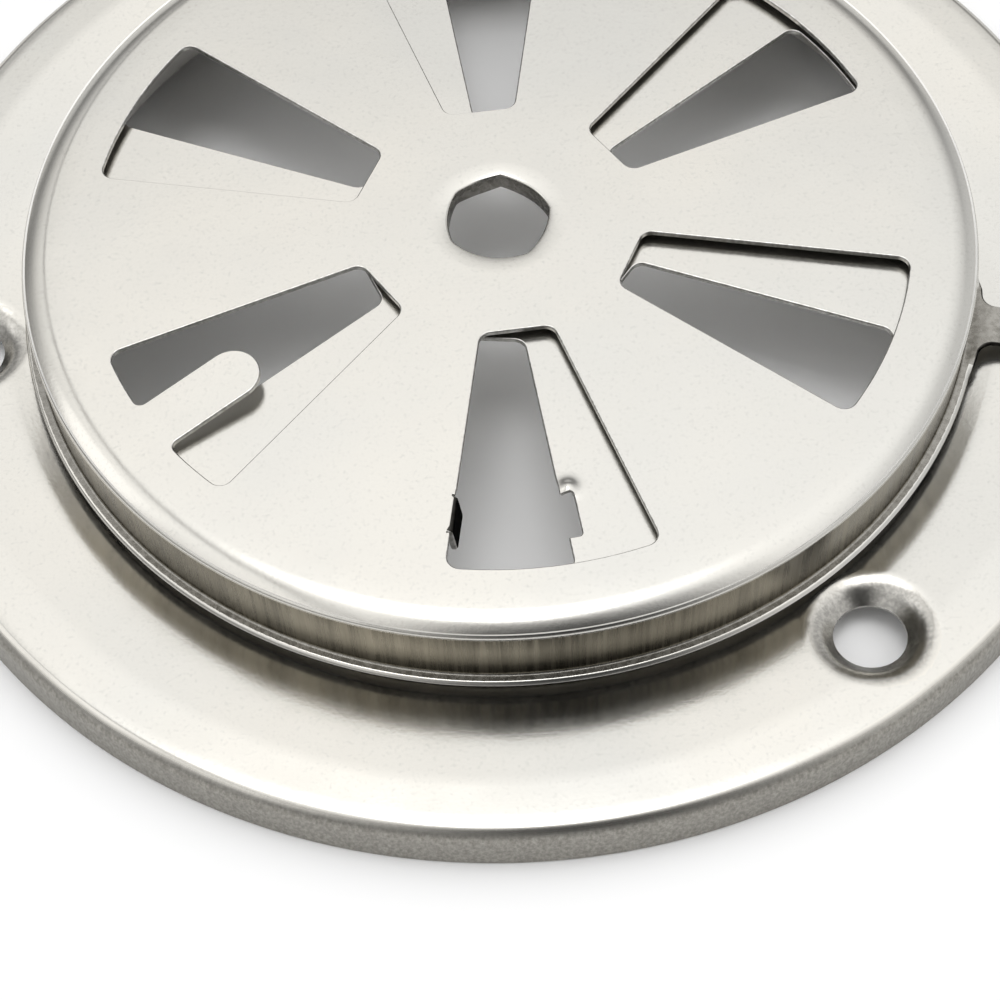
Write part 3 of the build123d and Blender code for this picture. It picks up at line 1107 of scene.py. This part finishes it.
def hangTent():
    world = bpy.data.worlds.new("softTent")
    bpy.context.scene.world = world
    world.use_nodes = True
    tree = world.node_tree
    background = tree.nodes["Background"]
    towards = addNode(tree, "ShaderNodeTexCoord").outputs["Generated"]
    parts = addNode(tree, "ShaderNodeSeparateXYZ", Vector=towards).outputs

    def softStep(value, low, high, toLow, toHigh):
        return addNode(tree, "ShaderNodeMapRange", {"interpolation_type": "SMOOTHSTEP"}, Value=value,
                       From_Min=low, From_Max=high, To_Min=toLow, To_Max=toHigh).outputs["Result"]

    # the curve holds values up to 1, so it is made lower and its result is raised again
    ramp = addNode(tree, "ShaderNodeFloatCurve", Value=parts["Z"])
    curve = ramp.mapping.curves[0]
    first, *between, last = [(height, level / tent["levelTop"]) for height, level in tent["levels"]]
    for height, level in between:
        curve.points.new(height, level)
    curve.points[0].location = first
    curve.points[len(curve.points) - 1].location = last
    ramp.mapping.update()
    level = sums(tree, "MULTIPLY", ramp.outputs["Value"], tent["levelTop"])
    level = sums(tree, "MAXIMUM", level, softStep(parts["X"], *tent["rightEdge"], 0.0, tent["rightLevel"]))

    azimuth, rise = (math.radians(a) for a in tent["panelTowards"])
    middle = (math.cos(azimuth) * math.cos(rise), math.sin(azimuth) * math.cos(rise), math.sin(rise))
    closeness = addNode(tree, "ShaderNodeVectorMath", {"operation": "DOT_PRODUCT"}, _0=towards, _1=middle)
    bright, dim = (math.cos(math.radians(a)) for a in tent["panelSize"])
    panel = softStep(closeness.outputs["Value"], dim, bright, 0.0, tent["panelLevel"])
    level = sums(tree, "MAXIMUM", level, panel)

    across = sums(tree, "DIVIDE", parts["X"], sums(tree, "MAXIMUM", parts["Z"], 0.05))
    off = sums(tree, "ABSOLUTE", sums(tree, "SUBTRACT", across, tent["seamAt"]), 0)
    level = sums(tree, "MULTIPLY", level, softStep(off, 0, tent["seamWidth"], 1 - tent["seamDim"], 1))

    offRight = sums(tree, "POWER", sums(tree, "SUBTRACT", parts["X"], tent["openAt"][0]), 2.0)
    offBack = sums(tree, "POWER", sums(tree, "SUBTRACT", parts["Y"], tent["openAt"][1]), 2.0)
    off = sums(tree, "SQRT", sums(tree, "ADD", offRight, offBack), 0)
    away = sums(tree, "DIVIDE", off, tent["openSize"])
    level = sums(tree, "MULTIPLY", level, softStep(away, *tent["openEdge"], tent["openLevel"], 1))
    level = sums(tree, "MAXIMUM", level, softStep(parts["Z"], *tent["horizon"], tent["horizonLevel"], 0))
    tree.links.new(level, background.inputs["Strength"])
    background.inputs["Color"].default_value = (1, 1, 1, 1)


hangTent()

# One wide soft lamp overhead
lamp = {"size": 0.54, "height": 1.1, "power": 1.9, "place": (-0.06, 0.08)}


def hangLamp():
    data = bpy.data.lights.new("overheadLamp", "AREA")
    data.shape = "DISK"
    data.size = lamp["size"]
    data.energy = lamp["power"]
    piece = bpy.data.objects.new("overheadLamp", data)
    piece.location = (*lamp["place"], lamp["height"])
    piece.rotation_euler = Vector(piece.location).to_track_quat("Z", "Y").to_euler()
    bpy.context.scene.collection.objects.link(piece)


hangLamp()
print("light set")

# The camera stands where it stood for the photograph
camera = {
    "elevation": 57.46,     # of the line of sight
    "roll": 2.84,
    "distance": 178.6,      # to the plane of the cap's middle
    "aside": 0.185,
    "below": 22.63,         # the picture's middle lies this far below the cap's middle
    "lens": 80.63,
    "sensor": 36,
    "clip": (0.005, 20),
}


def standCamera():
    e, roll = math.radians(camera["elevation"]), math.radians(camera["roll"])
    forward = Vector((0, math.cos(e), -math.sin(e)))
    up = Vector((0, math.sin(e), math.cos(e)))
    right = Vector((1, 0, 0))
    tiltRight = right * math.cos(roll) - up * math.sin(roll)
    tiltUp = right * math.sin(roll) + up * math.cos(roll)
    place = Vector((0, 0, vent["height"]))
    place += tiltRight * camera["aside"] - tiltUp * camera["below"] - forward * camera["distance"]
    data = bpy.data.cameras.new("photoCamera")
    data.lens = camera["lens"]
    data.sensor_width = camera["sensor"]
    data.clip_start, data.clip_end = camera["clip"]
    piece = bpy.data.objects.new("photoCamera", data)
    turn = Matrix((tiltRight, tiltUp, -forward)).transposed().to_4x4()
    piece.matrix_world = Matrix.Translation(place * mm) @ turn
    bpy.context.scene.collection.objects.link(piece)
    bpy.context.scene.camera = piece


standCamera()
bpy.context.scene.view_settings.view_transform = "Standard"
bpy.context.view_layer.update()
print("camera set")
